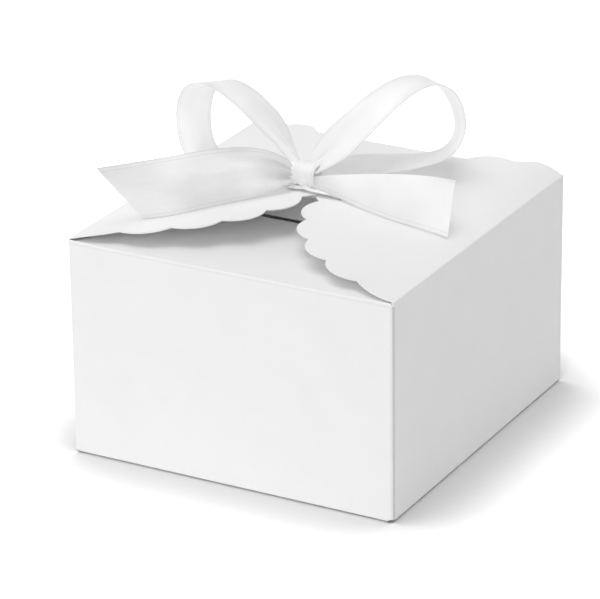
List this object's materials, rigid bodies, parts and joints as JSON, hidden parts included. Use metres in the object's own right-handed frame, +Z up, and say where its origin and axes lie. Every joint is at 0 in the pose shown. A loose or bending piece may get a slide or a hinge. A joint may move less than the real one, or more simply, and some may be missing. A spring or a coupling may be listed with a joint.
{
  "type": "favor box",
  "caption": "White card favor box whose scalloped top flaps fold in over plain dust flaps and are held shut by a satin ribbon tied in a bow.",
  "frame": {"origin": "middle of the base, on the table", "axes": "+Z up, -Y out of the front wall, scalloped flaps hinged on the -X and +X walls"},
  "size_m": [0.15, 0.16, 0.1454],
  "materials": {
    "card": "matt coated white board",
    "ribbon": "white satin"
  },
  "bodies": {
    "carton": {"front_wall": "card", "right_wall": "card", "rear_wall": "card", "left_wall": "card", "seam_tab": "card", "bottom_tongue_panel": "card", "bottom_left_lug": "card", "bottom_right_lug": "card", "bottom_slot_panel": "card", "left_flap_crease": "card", "right_flap_crease": "card", "front_flap_crease": "card", "rear_flap_crease": "card"},
    "left_flap": {"left_scallop_flap": "card", "bow_knot": "ribbon", "bow_left_loop": "ribbon", "bow_right_loop": "ribbon", "bow_left_tail": "ribbon", "bow_right_tail": "ribbon", "ribbon_strap": "ribbon"},
    "right_flap": {"right_scallop_flap": "card"},
    "front_dust_flap": {"front_dust_flap": "card"},
    "rear_dust_flap": {"rear_dust_flap": "card"}
  },
  "joints": [
    {"name": "left_flap_fold", "type": "hinge", "parent": "carton", "child": "left_flap", "pos_m": [-0.074, 0, 0.095], "axis": [0, -1, 0], "range_deg": [0, 130], "deforming": ["left_flap_crease", "ribbon_strap"]},
    {"name": "right_flap_fold", "type": "hinge", "parent": "carton", "child": "right_flap", "pos_m": [0.074, 0, 0.095], "axis": [0, 1, 0], "range_deg": [0, 130], "deforming": ["right_flap_crease"]},
    {"name": "front_dust_fold", "type": "hinge", "parent": "carton", "child": "front_dust_flap", "pos_m": [0, -0.079, 0.0941], "axis": [1, 0, 0], "range_deg": [0, 91], "deforming": ["front_flap_crease"]},
    {"name": "rear_dust_fold", "type": "hinge", "parent": "carton", "child": "rear_dust_flap", "pos_m": [0, 0.079, 0.0941], "axis": [-1, 0, 0], "range_deg": [0, 91], "deforming": ["rear_flap_crease"]}
  ],
  "couplings": [
    {"joint": "right_flap_fold", "follows": "left_flap_fold", "ratio": 1},
    {"joint": "front_dust_fold", "follows": "left_flap_fold", "ratio": 0.7},
    {"joint": "rear_dust_fold", "follows": "left_flap_fold", "ratio": 0.7}
  ]
}
